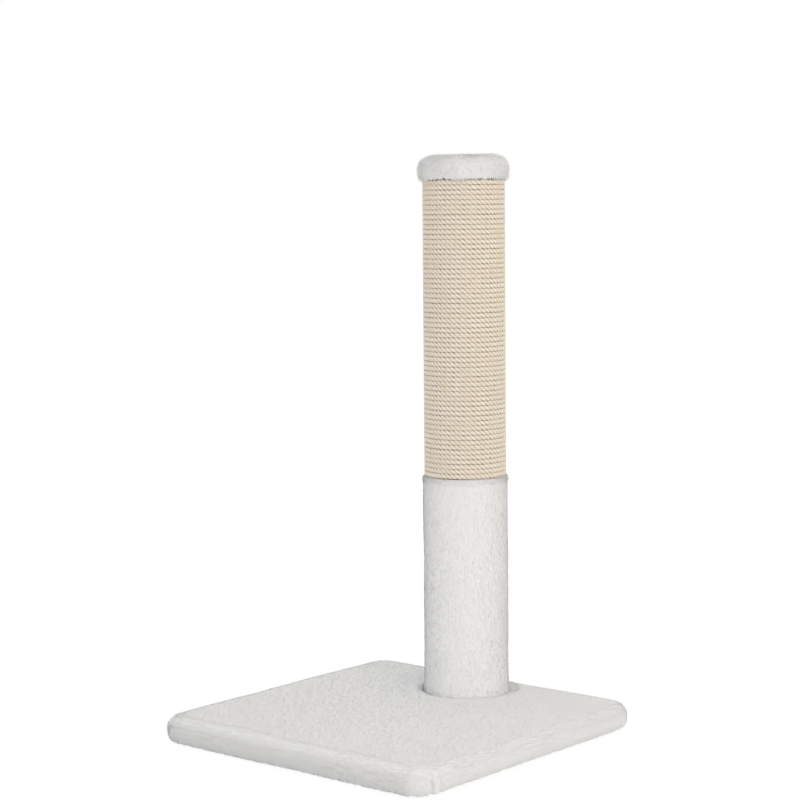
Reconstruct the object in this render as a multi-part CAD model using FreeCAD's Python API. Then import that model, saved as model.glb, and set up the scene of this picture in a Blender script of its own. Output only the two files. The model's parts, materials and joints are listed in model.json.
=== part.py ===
import FreeCAD
import Part
import math
import os

# A free-standing cat scratching post. A square base board is covered in plush. Near its rear edge
# stands a cardboard tube with a plush sleeve round its foot, a sisal rope wound round the rest and
# a padded plush cap on top. One bolt from below holds the post, and another holds the cap.
# Millimetres. The floor is z = 0, the base is centred on the origin, and +Y runs to the post.

Vector = FreeCAD.Vector
UP = Vector(0, 0, 1)

# Fits
fit_gap = 0.3  # between curved faces that sit against each other
thread_gap = 0.1  # between a bolt and its nut, on each side
bolt_hole_gap = 0.5  # between a bolt and the wood round it, on each side

# Base board and its plush cover
board_side = 400.0
board_thickness = 22.0
board_corner_radius = 23.0
board_arris = 1.5
base_plush_thickness = 8.0
base_top_edge_radius = 16.0
base_bottom_edge_radius = 12.0
base_hem_width = 30.0
base_hem_thickness = 3.0
base_hem_corner_radius = 12.0
pocket_rim_radius = 2.5
pressed_plush_thickness = 2.0  # under the foot of the post

# Underside of the base
liner_thickness = 1.0
liner_gap = 0.5  # from the liner's edge to the hem
bolt_access_gap = 2.0  # from the counterbore to the liner's hole
foot_pad_diameter = 30.0
foot_pad_height = 4.0
foot_pad_inset = 50.0  # from the pad's centre to the board's edges
foot_pad_edge_radius = 0.8

# Post
post_inset = 67.5  # from the post's axis to the board's rear edge
tube_diameter = 90.0
tube_wall = 10.0
tube_length = 644.5
plug_thickness = 18.0

# Plush sleeve
sleeve_thickness = 8.0
sleeve_length = 278.0
sleeve_edge_radius = 3.0
sleeve_seam_gap = 0.6

# Sisal rope
rope_diameter = 5.5
rope_turn_gap = 0.44
seam_angle = 130.0  # degrees, where the rows step down and the sleeve is closed, at the back

# Cap
cap_disc_overhang = 6.0  # from the tube's outside to the disc's edge, over the rope
cap_disc_thickness = 15.0
cap_disc_arris = 1.0
cap_pad_thickness = 7.0
cap_pad_edge_radius = 4.0
cap_plush_thickness = 7.0
cap_crown = 2.0
cap_shoulder_radius = 16.0
cap_lower_radius = 9.0
cap_hem_thickness = 3.0
cap_hem_opening_radius = 20.0

# Bolts, washer and tee nuts, all M8
bolt_diameter = 8.0
bolt_length = 40.0
bolt_tip_chamfer = 1.0
button_head_diameter = 14.0
button_head_height = 4.4
button_head_rounding = 3.0
hex_socket_width = 5.0
hex_socket_depth = 2.6
counterbore_diameter = 26.0
counterbore_depth = 8.0
washer_diameter = 24.0
washer_thickness = 1.5
washer_hole_gap = 0.2
carriage_head_diameter = 20.0
carriage_head_height = 4.0
carriage_head_rounding = 3.4
square_neck_height = 4.0
nut_flange_diameter = 22.0
nut_flange_thickness = 1.5
nut_barrel_diameter = 10.0
nut_barrel_length = 11.0
nut_prong_count = 4
nut_prong_radius = 8.5
nut_prong_width = 3.0
nut_prong_thickness = 1.2
nut_prong_length = 6.0

# Staples
staple_wire = 0.7
staple_width = 10.0
hem_staple_leg = 10.0
liner_staple_leg = 8.0
plug_staple_leg = 15.0
hem_staples_per_side = 6
liner_staples_per_side = 3
cap_staple_count = 10
cap_staple_circle_radius = 28.0
plug_staple_count = 4
plug_staple_sink = 0.3  # the straight crown sits this deep in the round tube

# Heights
board_bottom = foot_pad_height + liner_thickness
board_top = board_bottom + board_thickness
base_top = board_top + base_plush_thickness
base_hem_bottom = board_bottom - base_hem_thickness
counterbore_top = board_bottom + counterbore_depth
post_bottom = board_top + pressed_plush_thickness
post_top = post_bottom + tube_length
lower_plug_top = post_bottom + plug_thickness
upper_plug_bottom = post_top - plug_thickness
sleeve_top = post_bottom + sleeve_length
cap_disc_bottom = post_top + cap_hem_thickness
cap_disc_top = cap_disc_bottom + cap_disc_thickness
cap_pad_top = cap_disc_top + cap_pad_thickness
cap_top = cap_pad_top + cap_plush_thickness + cap_crown

# Places in plan
post_y = board_side / 2 - post_inset
foot_pad_offset = board_side / 2 - foot_pad_inset
base_side = board_side + 2 * base_plush_thickness
hem_opening_side = board_side - 2 * base_hem_width
liner_side = hem_opening_side - 2 * liner_gap
tube_radius = tube_diameter / 2
tube_bore_radius = tube_radius - tube_wall
sleeve_radius = tube_radius + fit_gap + sleeve_thickness
bolt_hole_radius = bolt_diameter / 2 + bolt_hole_gap
cap_disc_radius = tube_radius + cap_disc_overhang
cap_cavity_radius = cap_disc_radius + fit_gap
cap_radius = cap_cavity_radius + cap_plush_thickness

# Winding, whose rows fill the height between the sleeve and the cap. Each row is level for half
# a turn, opposite the seam, and steps down to the next row in the half turn over the seam.
winding_radius = tube_radius + fit_gap + rope_diameter / 2
winding_top = post_top - fit_gap - rope_diameter / 2
winding_bottom = sleeve_top + fit_gap + rope_diameter / 2
winding_height = winding_top - winding_bottom
row_steps = math.floor(winding_height / (rope_diameter + rope_turn_gap))
rope_rows = row_steps + 1
rope_pitch = winding_height / row_steps
half_turns = rope_rows + row_steps

SAME = 1e-4  # edges this close in height lie in one plane
SHARE_OF_HEIGHT = 0.49  # two fillets that meet on a wall each take less than half of it
GAP_SAMPLES = 24  # points on each turn where the gap to the next turn is measured


def round_bar(radius, low, high):
    """A cylinder on the post's axis."""
    return Part.makeCylinder(radius, high - low, Vector(0, post_y, low))


def tube(outer, inner, low, high):
    return round_bar(outer, low, high).cut(round_bar(inner, low, high))


def rounded_slab(side, corner, low, high):
    """A square slab on the base's axis with rounded upright corners."""
    slab = Part.makeBox(side, side, high - low, Vector(-side / 2, -side / 2, low))
    uprights = [edge for edge in slab.Edges if edge.BoundBox.ZLength > (high - low) / 2]
    return slab.makeFillet(corner, uprights)


def level_edges(solid, height):
    """The edges that lie in the plane z = height."""
    found = []
    for edge in solid.Edges:
        box = edge.BoundBox
        if abs(box.ZMin - height) < SAME and abs(box.ZMax - height) < SAME:
            found.append(edge)
    return found


def ring_edges(solid, height, radius):
    """The circles of one radius that lie in the plane z = height."""
    return [
        edge
        for edge in level_edges(solid, height)
        if hasattr(edge.Curve, "Radius") and abs(edge.Curve.Radius - radius) < SAME
    ]


def placed(shape, position, rotation):
    copy = shape.copy()
    copy.Placement = FreeCAD.Placement(position, rotation)
    return copy


def spread(count, length):
    """Evenly spaced places along a length that is centred on zero."""
    step = length / count
    return [step * (index + 0.5) - length / 2 for index in range(count)]


def staple(leg):
    """A wire staple whose crown lies along X at z = 0 and whose legs point up."""
    half = staple_width / 2
    inner = half - staple_wire
    corners = [
        Vector(-half, 0, 0),
        Vector(half, 0, 0),
        Vector(half, 0, leg),
        Vector(inner, 0, leg),
        Vector(inner, 0, staple_wire),
        Vector(-inner, 0, staple_wire),
        Vector(-inner, 0, leg),
        Vector(-half, 0, leg),
        Vector(-half, 0, 0),
    ]
    outline = Part.Face(Part.makePolygon(corners))
    outline.translate(Vector(0, -staple_wire / 2, 0))
    return outline.extrude(Vector(0, staple_wire, 0))


def staples_round_square(leg, per_side, side, height):
    """Staples along the four sides of a square, with their crowns along the sides."""
    one = staple(leg)
    staples = []
    for quarter in range(4):
        turn = FreeCAD.Rotation(UP, 90 * quarter)
        for along in spread(per_side, side):
            position = turn.multVec(Vector(along, -side / 2, height))
            staples.append(placed(one, position, turn))
    return staples


def make_base_staples():
    side = board_side - base_hem_width
    return staples_round_square(hem_staple_leg, hem_staples_per_side, side, base_hem_bottom)


def make_liner_staples():
    side = liner_side - staple_width
    return staples_round_square(liner_staple_leg, liner_staples_per_side, side, foot_pad_height)


def make_cap_staples():
    one = staple(hem_staple_leg)
    staples = []
    for index in range(cap_staple_count):
        turn = FreeCAD.Rotation(UP, 360 * index / cap_staple_count)
        out = turn.multVec(Vector(0, cap_staple_circle_radius, 0))
        staples.append(placed(one, Vector(0, post_y, post_top) + out, turn))
    return staples


def make_plug_staples(height):
    """Staples through the tube's wall into a plug, with their crowns level round the tube."""
    one = staple(plug_staple_leg)
    staples = []
    for index in range(plug_staple_count):
        turn = FreeCAD.Rotation(UP, 360 * (index + 0.5) / plug_staple_count)
        outward = turn.multVec(Vector(1, 0, 0))
        along = turn.multVec(Vector(0, 1, 0))
        rotation = FreeCAD.Rotation(along, -UP, -outward, "ZXY")
        reach = outward * (tube_radius - plug_staple_sink)
        staples.append(placed(one, Vector(0, post_y, height) + reach, rotation))
    return staples


def hexagon_bar(width, low, high):
    """A six-sided bar on the post's axis, measured across its flats."""
    corner_radius = width / 2 / math.cos(math.pi / 6)
    corners = []
    for index in range(7):
        angle = math.radians(60 * index)
        x = corner_radius * math.cos(angle)
        y = corner_radius * math.sin(angle)
        corners.append(Vector(x, post_y + y, low))
    return Part.Face(Part.makePolygon(corners)).extrude(Vector(0, 0, high - low))


def make_base_bolt():
    """A button-head bolt that points up, with its head in the board's counterbore."""
    seat = counterbore_top - washer_thickness
    head_bottom = seat - button_head_height
    tip = seat + bolt_length
    head = round_bar(button_head_diameter / 2, head_bottom, seat)
    head = head.makeFillet(button_head_rounding, level_edges(head, head_bottom))
    head = head.cut(hexagon_bar(hex_socket_width, head_bottom, head_bottom + hex_socket_depth))
    shank = round_bar(bolt_diameter / 2, seat, tip)
    shank = shank.makeChamfer(bolt_tip_chamfer, level_edges(shank, tip))
    return head.fuse(shank).removeSplitter()


def make_cap_bolt():
    """A carriage bolt that points down, with its round head let into the top of the disc."""
    seat = cap_disc_top - carriage_head_height
    tip = seat - bolt_length
    head = round_bar(carriage_head_diameter / 2, seat, cap_disc_top)
    head = head.makeFillet(carriage_head_rounding, level_edges(head, cap_disc_top))
    corner = Vector(-bolt_diameter / 2, post_y - bolt_diameter / 2, seat - square_neck_height)
    neck = Part.makeBox(bolt_diameter, bolt_diameter, square_neck_height, corner)
    shank = round_bar(bolt_diameter / 2, tip, seat)
    shank = shank.makeChamfer(bolt_tip_chamfer, level_edges(shank, tip))
    return head.fuse([neck, shank]).removeSplitter()


def make_washer():
    hole_radius = bolt_diameter / 2 + washer_hole_gap
    low = counterbore_top - washer_thickness
    return tube(washer_diameter / 2, hole_radius, low, counterbore_top)


def make_tee_nut(face, rotation):
    """A tee nut whose flange lies on a plug's face, with its barrel and prongs in the plug."""
    flange = Part.makeCylinder(nut_flange_diameter / 2, nut_flange_thickness)
    barrel_start = Vector(0, 0, -nut_barrel_length)
    barrel = Part.makeCylinder(nut_barrel_diameter / 2, nut_barrel_length, barrel_start)
    half = nut_prong_width / 2
    inner = nut_prong_radius - nut_prong_thickness / 2
    spike = [
        Vector(inner, -half, 0),
        Vector(inner, half, 0),
        Vector(inner, 0, -nut_prong_length),
        Vector(inner, -half, 0),
    ]
    prong = Part.Face(Part.makePolygon(spike)).extrude(Vector(nut_prong_thickness, 0, 0))
    prongs = []
    for index in range(nut_prong_count):
        turn = FreeCAD.Rotation(UP, 360 * index / nut_prong_count)
        prongs.append(placed(prong, Vector(), turn))
    nut = flange.fuse([barrel] + prongs)
    thread_length = nut_barrel_length + nut_flange_thickness
    thread = Part.makeCylinder(bolt_diameter / 2 + thread_gap, thread_length, barrel_start)
    nut = nut.cut(thread).removeSplitter()
    return placed(nut, Vector(0, post_y, face), rotation)


def make_plug(low, nut, staples):
    """A wooden disc in the end of the tube, cut for its tee nut and its staples."""
    plug = round_bar(tube_bore_radius - fit_gap, low, low + plug_thickness)
    hole_radius = nut_barrel_diameter / 2 + fit_gap
    plug = plug.cut(round_bar(hole_radius, low, low + plug_thickness))
    return plug.cut([nut] + staples)


def make_base_board(staples):
    board = rounded_slab(board_side, board_corner_radius, board_bottom, board_top)
    rims = level_edges(board, board_bottom) + level_edges(board, board_top)
    board = board.makeChamfer(board_arris, rims)
    counterbore = round_bar(counterbore_diameter / 2, board_bottom, counterbore_top)
    bolt_hole = round_bar(bolt_hole_radius, board_bottom, board_top)
    return board.cut([counterbore, bolt_hole] + staples)


def make_base_plush(staples):
    """The base's cover: a top and sides, a hem folded under, and a pocket for the post."""
    corner = board_corner_radius + base_plush_thickness
    cover = rounded_slab(base_side, corner, base_hem_bottom, base_top)
    height = base_top - base_hem_bottom
    top_radius = min(base_top_edge_radius, SHARE_OF_HEIGHT * height)
    bottom_radius = min(base_bottom_edge_radius, SHARE_OF_HEIGHT * height)
    cover = cover.makeFillet(top_radius, level_edges(cover, base_top))
    cover = cover.makeFillet(bottom_radius, level_edges(cover, base_hem_bottom))
    cavity_side = board_side + 2 * fit_gap
    cavity_corner = board_corner_radius + fit_gap
    cavity = rounded_slab(cavity_side, cavity_corner, board_bottom, board_top)
    opening = rounded_slab(
        hem_opening_side, base_hem_corner_radius, base_hem_bottom, board_bottom
    )
    pocket_radius = sleeve_radius + fit_gap
    pocket = round_bar(pocket_radius, post_bottom, base_top)
    bolt_hole = round_bar(bolt_hole_radius, board_top, post_bottom)
    cover = cover.cut([cavity, opening, pocket, bolt_hole])
    cover = cover.makeFillet(pocket_rim_radius, ring_edges(cover, base_top, pocket_radius))
    return cover.cut(staples)


def make_base_liner(staples):
    liner = rounded_slab(liner_side, base_hem_corner_radius, foot_pad_height, board_bottom)
    access_radius = counterbore_diameter / 2 + bolt_access_gap
    access = round_bar(access_radius, foot_pad_height, board_bottom)
    return liner.cut([access] + staples)


def make_foot_pad(x, y):
    pad = Part.makeCylinder(foot_pad_diameter / 2, foot_pad_height, Vector(x, y, 0))
    return pad.makeFillet(foot_pad_edge_radius, level_edges(pad, 0))


def make_post_tube(staples):
    return tube(tube_radius, tube_bore_radius, post_bottom, post_top).cut(staples)


def make_sleeve():
    """The plush sleeve, open along its seam."""
    sleeve = tube(sleeve_radius, tube_radius + fit_gap, post_bottom, sleeve_top)
    rim = ring_edges(sleeve, sleeve_top, sleeve_radius)
    sleeve = sleeve.makeFillet(sleeve_edge_radius, rim)
    corner = Vector(0, -sleeve_seam_gap / 2, 0)
    slit = Part.makeBox(2 * sleeve_radius, sleeve_seam_gap, sleeve_length, corner)
    turn = FreeCAD.Rotation(UP, seam_angle)
    return sleeve.cut(placed(slit, Vector(0, post_y, post_bottom), turn))


def winding_frame(half_turn):
    """A point on the rope's centre line and its level direction, at the end of a half turn."""
    angle = math.radians(seam_angle + 90 + 180 * half_turn)
    x = winding_radius * math.cos(angle)
    y = winding_radius * math.sin(angle)
    point = Vector(x, post_y + y, winding_top - rope_pitch * (half_turn // 2))
    direction = Vector(-y, x, 0)
    return point, direction.normalize()


def tangent_arc(start, corner, end):
    """The arc that leaves start towards the corner and reaches end from the corner."""
    back = (start - corner).normalize()
    on = (end - corner).normalize()
    half_angle = back.getAngle(on) / 2
    reach = (start - corner).Length
    radius = reach * math.tan(half_angle)
    middle_way = (back + on).normalize()
    middle = corner + middle_way * (radius / math.sin(half_angle) - radius)
    return Part.Arc(start, middle, end).toShape(), radius


def biarc(start, start_way, end, end_way):
    """Two arcs that run from one point to the other and keep both directions."""
    chord = end - start
    bend = 2 * (1 - start_way.dot(end_way))
    lean = 2 * chord.dot(start_way + end_way)
    reach = (-lean + math.sqrt(lean * lean + 4 * bend * chord.dot(chord))) / (2 * bend)
    first_corner = start + start_way * reach
    last_corner = end - end_way * reach
    joint = (first_corner + last_corner) / 2
    return tangent_arc(start, first_corner, joint), tangent_arc(joint, last_corner, end)


def make_rope():
    """The whole winding as one tube on half-turn biarcs, with a straight run at each end."""
    frames = [winding_frame(index) for index in range(half_turns + 1)]
    top_point, top_way = frames[0]
    bottom_point, bottom_way = frames[-1]
    top_end = top_point - top_way * rope_diameter
    bottom_end = bottom_point + bottom_way * rope_diameter
    edges = [Part.LineSegment(top_end, top_point).toShape()]
    radii = []
    for (start, start_way), (end, end_way) in zip(frames, frames[1:]):
        for arc, radius in biarc(start, start_way, end, end_way):
            edges.append(arc)
            radii.append(radius)
    edges.append(Part.LineSegment(bottom_point, bottom_end).toShape())
    path = Part.Wire(edges)
    section = Part.Wire([Part.makeCircle(rope_diameter / 2, top_end, top_way)])
    rope = path.makePipeShell([section], True, False)
    expected = math.pi * rope_diameter**2 / 4 * path.Length
    print("rope rows", rope_rows, "pitch", round(rope_pitch, 3), "length", round(path.Length))
    print("rope least bend radius", round(min(radii), 2))
    print("rope volume over section times length", round(rope.Volume / expected, 6))
    print("rope least gap to itself", round(least_turn_gap(edges), 3))
    return rope


def least_turn_gap(edges):
    """The least gap from any point of the rope to the turn below, measured on points."""
    points = []
    samples = GAP_SAMPLES // 4
    for edge in edges:
        length = edge.LastParameter - edge.FirstParameter
        for index in range(samples):
            points.append(edge.valueAt(edge.FirstParameter + length * index / samples))
    least = math.inf
    for index, point in enumerate(points):
        half_a_turn_on = index + GAP_SAMPLES // 2
        for other in points[half_a_turn_on : half_a_turn_on + GAP_SAMPLES]:
            least = min(least, point.distanceToPoint(other))
    return least - rope_diameter


def make_cap_disc(bolt, staples):
    disc = round_bar(cap_disc_radius, cap_disc_bottom, cap_disc_top)
    rims = level_edges(disc, cap_disc_bottom) + level_edges(disc, cap_disc_top)
    disc = disc.makeChamfer(cap_disc_arris, rims)
    recess_bottom = cap_disc_top - carriage_head_height
    recess = round_bar(carriage_head_diameter / 2 + fit_gap, recess_bottom, cap_disc_top)
    bolt_hole = round_bar(bolt_hole_radius, cap_disc_bottom, recess_bottom)
    return disc.cut([recess, bolt_hole, bolt] + staples)


def make_cap_pad():
    pad = round_bar(cap_disc_radius, cap_disc_top, cap_pad_top)
    return pad.makeFillet(cap_pad_edge_radius, level_edges(pad, cap_pad_top))


def quarter_arc(start, centre, end):
    """An arc of an upright plane about a centre, from one point to another."""
    radius = (start - centre).Length
    middle_way = (start + end - centre * 2).normalize()
    return Part.Arc(start, centre + middle_way * radius, end).toShape()


def make_cap_plush(staples):
    """The cap's cover: a crowned top with round shoulders, sides and a hem folded under."""
    shoulder_in = cap_radius - cap_shoulder_radius
    lower_in = cap_radius - cap_lower_radius
    crown_edge = cap_top - cap_crown
    shoulder_end = crown_edge - cap_shoulder_radius
    lower_end = post_top + cap_lower_radius
    crown_radius = (shoulder_in**2 + cap_crown**2) / (2 * cap_crown)
    half_way = shoulder_in / 2
    crown_middle = cap_top - crown_radius + math.sqrt(crown_radius**2 - half_way**2)
    outline = [
        Part.Arc(
            Vector(0, 0, cap_top),
            Vector(half_way, 0, crown_middle),
            Vector(shoulder_in, 0, crown_edge),
        ).toShape(),
        quarter_arc(
            Vector(shoulder_in, 0, crown_edge),
            Vector(shoulder_in, 0, shoulder_end),
            Vector(cap_radius, 0, shoulder_end),
        ),
        Part.makeLine(Vector(cap_radius, 0, shoulder_end), Vector(cap_radius, 0, lower_end)),
        quarter_arc(
            Vector(cap_radius, 0, lower_end),
            Vector(lower_in, 0, lower_end),
            Vector(lower_in, 0, post_top),
        ),
        Part.makeLine(Vector(lower_in, 0, post_top), Vector(0, 0, post_top)),
        Part.makeLine(Vector(0, 0, post_top), Vector(0, 0, cap_top)),
    ]
    section = Part.Face(Part.Wire(outline))
    cover = section.revolve(Vector(), UP, 360)
    cover.translate(Vector(0, post_y, 0))
    cavity = round_bar(cap_cavity_radius, cap_disc_bottom, cap_pad_top)
    opening = round_bar(cap_hem_opening_radius, post_top, cap_disc_bottom)
    return cover.cut([cavity, opening] + staples)


def make_nodes():
    """Every node of the post, by name. A node of several equal pieces is a list of solids."""
    base_staples = make_base_staples()
    liner_staples = make_liner_staples()
    cap_staples = make_cap_staples()
    lower_staples = make_plug_staples(post_bottom + plug_thickness / 2)
    upper_staples = make_plug_staples(post_top - plug_thickness / 2)
    lower_nut = make_tee_nut(lower_plug_top, FreeCAD.Rotation())
    upper_nut = make_tee_nut(upper_plug_bottom, FreeCAD.Rotation(Vector(1, 0, 0), 180))
    cap_bolt = make_cap_bolt()
    nodes = {
        "base_board": [make_base_board(base_staples + liner_staples)],
        "base_plush": [make_base_plush(base_staples)],
        "base_staples": base_staples,
        "base_liner": [make_base_liner(liner_staples)],
        "liner_staples": liner_staples,
        "base_bolt": [make_base_bolt()],
        "base_washer": [make_washer()],
        "post_tube": [make_post_tube(lower_staples + upper_staples)],
        "lower_plug": [make_plug(post_bottom, lower_nut, lower_staples)],
        "upper_plug": [make_plug(upper_plug_bottom, upper_nut, upper_staples)],
        "lower_plug_staples": lower_staples,
        "upper_plug_staples": upper_staples,
        "lower_tee_nut": [lower_nut],
        "upper_tee_nut": [upper_nut],
        "plush_sleeve": [make_sleeve()],
        "sisal_rope": [make_rope()],
        "cap_disc": [make_cap_disc(cap_bolt, cap_staples)],
        "cap_pad": [make_cap_pad()],
        "cap_plush": [make_cap_plush(cap_staples)],
        "cap_staples": cap_staples,
        "cap_bolt": [cap_bolt],
    }
    for front_or_rear, y in (("front", -foot_pad_offset), ("rear", foot_pad_offset)):
        for left_or_right, x in (("left", -foot_pad_offset), ("right", foot_pad_offset)):
            name = "foot_pad_" + front_or_rear + "_" + left_or_right
            nodes[name] = [make_foot_pad(x, y)]
    return nodes


def write_nodes():
    os.makedirs("parts", exist_ok=True)
    for name, pieces in make_nodes().items():
        solids = []
        for piece in pieces:
            solids.extend(piece.Solids)
        shape = solids[0] if len(solids) == 1 else Part.makeCompound(solids)
        shape.exportStep("parts/" + name + ".step")
        print(name, "solids", len(solids), "volume", round(shape.Volume), shape.isValid())


write_nodes()
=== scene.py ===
import json
import math

import bmesh
import bpy
import numpy as np
from mathutils import Matrix, Vector, noise


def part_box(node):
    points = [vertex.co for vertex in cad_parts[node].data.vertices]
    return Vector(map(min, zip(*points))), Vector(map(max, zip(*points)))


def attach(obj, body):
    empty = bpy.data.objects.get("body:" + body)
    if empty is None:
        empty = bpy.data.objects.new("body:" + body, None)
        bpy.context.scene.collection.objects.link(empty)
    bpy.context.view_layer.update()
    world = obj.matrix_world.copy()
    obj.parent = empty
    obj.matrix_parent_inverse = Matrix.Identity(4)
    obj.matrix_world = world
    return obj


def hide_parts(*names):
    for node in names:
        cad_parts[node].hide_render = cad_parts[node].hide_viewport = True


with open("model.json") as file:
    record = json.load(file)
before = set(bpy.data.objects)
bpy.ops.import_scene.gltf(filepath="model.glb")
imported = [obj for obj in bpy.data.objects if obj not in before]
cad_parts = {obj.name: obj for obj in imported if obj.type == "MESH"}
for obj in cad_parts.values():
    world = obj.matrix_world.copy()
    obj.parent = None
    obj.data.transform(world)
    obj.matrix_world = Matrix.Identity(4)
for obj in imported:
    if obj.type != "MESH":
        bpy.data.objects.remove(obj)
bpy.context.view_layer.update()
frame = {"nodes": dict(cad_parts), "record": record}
noise.seed_set(1)  # else noise_vector differs from run to run
print("frame loaded,", len(frame["nodes"]), "nodes")


def addObject(name, data):
    piece = bpy.data.objects.new(name, data)
    bpy.context.scene.collection.objects.link(piece)
    return piece


def toObject(bm, name):
    mesh = bpy.data.meshes.new(name)
    bm.to_mesh(mesh)
    bm.free()
    return addObject(name, mesh)


def meshOf(piece):
    # the piece's mesh as its modifiers leave it
    graph = bpy.context.evaluated_depsgraph_get()
    return bpy.data.meshes.new_from_object(piece.evaluated_get(graph), depsgraph=graph)


def bakeModifiers(piece):
    mesh = meshOf(piece)
    piece.modifiers.clear()
    piece.data = mesh
    mesh.name = piece.name


def smoothShade(piece):
    piece.data.polygons.foreach_set("use_smooth", [True] * len(piece.data.polygons))


def nodeCorners(node):
    low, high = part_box(node)
    return Vector(low), Vector(high)


def smoothStep(value, low, high):
    part = min(max((value - low) / (high - low), 0.0), 1.0)
    return part * part * (3 - 2 * part)


def ripple(point, layers, seed):
    # a sum of soft noises; each layer is a wavelength and a depth in metres
    total = 0.0
    for number, (wave, depth) in enumerate(layers):
        total += depth * noise.noise(point / wave + Vector((seed, number * 7.3, seed * 0.5)))
    return total


def rippleMesh(piece, layers, seed):
    bm = bmesh.new()
    bm.from_mesh(piece.data)
    bm.normal_update()
    moves = [vert.normal * ripple(vert.co, layers, seed) for vert in bm.verts]
    for vert, move in zip(bm.verts, moves):
        vert.co += move
    bm.to_mesh(piece.data)
    bm.free()


def remeshEvenly(piece, size):
    remesh = piece.modifiers.new("even", "REMESH")
    remesh.mode = "VOXEL"
    remesh.voxel_size = size
    bakeModifiers(piece)


def giveWall(piece, thickness):
    wall = piece.modifiers.new("wall", "SOLIDIFY")
    wall.thickness = thickness
    wall.offset = -1
    bakeModifiers(piece)
    smoothShade(piece)


def socket(sockets, name):
    # by number, or the first of that name that is in use
    if isinstance(name, int):
        return sockets[name]
    return next(item for item in sockets if item.name == name and item.enabled)


def feed(node, name, value):
    # value is a plain value, an output, or a node, whose first output in use is taken
    if isinstance(value, bpy.types.Node):
        value = next(item for item in value.outputs if item.enabled)
    place = socket(node.inputs, name)
    if isinstance(value, bpy.types.NodeSocket):
        node.id_data.links.new(value, place)
    else:
        place.default_value = value


def addNode(tree, kind, inputs=None, **settings):
    node = tree.nodes.new(kind)
    for name, value in settings.items():
        setattr(node, name, value)
    for name, value in (inputs or {}).items():
        feed(node, name, value)
    return node


def reckon(tree, operation, *values, kind="ShaderNodeMath"):
    return addNode(tree, kind, dict(enumerate(values)), operation=operation)


def ramp(tree, value, start, end, low=0.0, high=1.0, **settings):
    # low up to start, and high from end on
    return addNode(tree, "ShaderNodeMapRange", {
        "Value": value, "From Min": start, "From Max": end, "To Min": low, "To Max": high},
        **settings)


def colourMix(tree, dark, light, share):
    return addNode(tree, "ShaderNodeMix", {"Factor": share, "A": dark, "B": light},
                   data_type="RGBA")


def attribute(tree, label, output="Fac"):
    return addNode(tree, "ShaderNodeAttribute", attribute_name=label).outputs[output]


def texture(tree, kind, **inputs):
    # a texture on the piece's own coordinates
    place = addNode(tree, "ShaderNodeTexCoord").outputs["Object"]
    return addNode(tree, "ShaderNodeTex" + kind, {"Vector": place, **inputs})


def roughen(shader, pattern, strength, depth):
    bump = addNode(shader.id_data, "ShaderNodeBump", {
        "Height": pattern, "Strength": strength, "Distance": depth})
    feed(shader, "Normal", bump)


sleeveLow, sleeveHigh = nodeCorners("plush_sleeve")
tubeLow, tubeHigh = nodeCorners("post_tube")
postY = (tubeLow.y + tubeHigh.y) / 2
postAxis = Vector((0, postY, 0))
sleeveRadius = (sleeveHigh.x - sleeveLow.x) / 2
tubeRadius = (tubeHigh.x - tubeLow.x) / 2
seamAngle = math.radians(130)  # the back of the post, where the rope steps down


def aroundPost(point):
    # distance from the post's axis, and angle round it
    return math.hypot(point.x, point.y - postY), math.atan2(point.y - postY, point.x)


def turnBetween(first, second):
    turn = first - second
    return math.atan2(math.sin(turn), math.cos(turn))


cameraView = {
    "place": (1.6016, -1.8827, 0.6443),
    "turn": 40.28,  # degrees to the left of +Y
    "down": 5.40,
    "roll": -0.53,
    "lens": 93.04,
    "sensor": 36.0,
}


def placeCamera():
    data = bpy.data.cameras.new("camera")
    data.lens = cameraView["lens"]
    data.sensor_width = cameraView["sensor"]
    data.clip_end = 50
    camera = addObject("camera", data)
    turn = Matrix.Rotation(math.radians(cameraView["turn"]), 4, "Z")
    tilt = Matrix.Rotation(math.radians(90 - cameraView["down"]), 4, "X")
    roll = Matrix.Rotation(math.radians(cameraView["roll"]), 4, "Z")
    camera.matrix_world = Matrix.Translation(cameraView["place"]) @ turn @ tilt @ roll
    bpy.context.scene.camera = camera


studio = {
    "skyLeft": (0.91, 0.93, 0.975, 1),  # at the picture's left and right
    "skyRight": (1.0, 0.985, 0.955, 1),
    "rightWay": (0.763, 0.646, 0.0),
    "leftEnd": -0.9,  # how far along that way each colour is reached
    "rightEnd": 0.5,
    "skyLow": 1.19,  # strength at the horizon and from skyTop up
    "skyHigh": 0.66,
    "skyTop": 0.9,  # sine of that height
    "keyPlace": (3.2, -2.0, 1.9),
    "keyAim": (0.0, 0.1, 0.3),
    "keySize": 3.4,
    "keyPower": 41,
    "keyColour": (1.0, 0.95, 0.87),
    "floorSize": 30.0,
    "floorShade": 0.88,  # as the object and the lamps see it
    "floorGlow": 0.92,  # as the camera sees it, where no shadow falls on its tint
    "floorTint": 0.13,
}


def finishTree(tree, kind, lit, seen):
    # seen shows to the camera, in reflections and through glass, and lit does the lighting
    path = addNode(tree, "ShaderNodeLightPath")
    direct = reckon(tree, "MAXIMUM", path.outputs["Is Camera Ray"], path.outputs["Is Glossy Ray"])
    direct = reckon(tree, "MAXIMUM", direct, path.outputs["Is Transmission Ray"])
    mix = addNode(tree, "ShaderNodeMixShader", {0: direct, 1: lit, 2: seen})
    addNode(tree, kind, {"Surface": mix})


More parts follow.
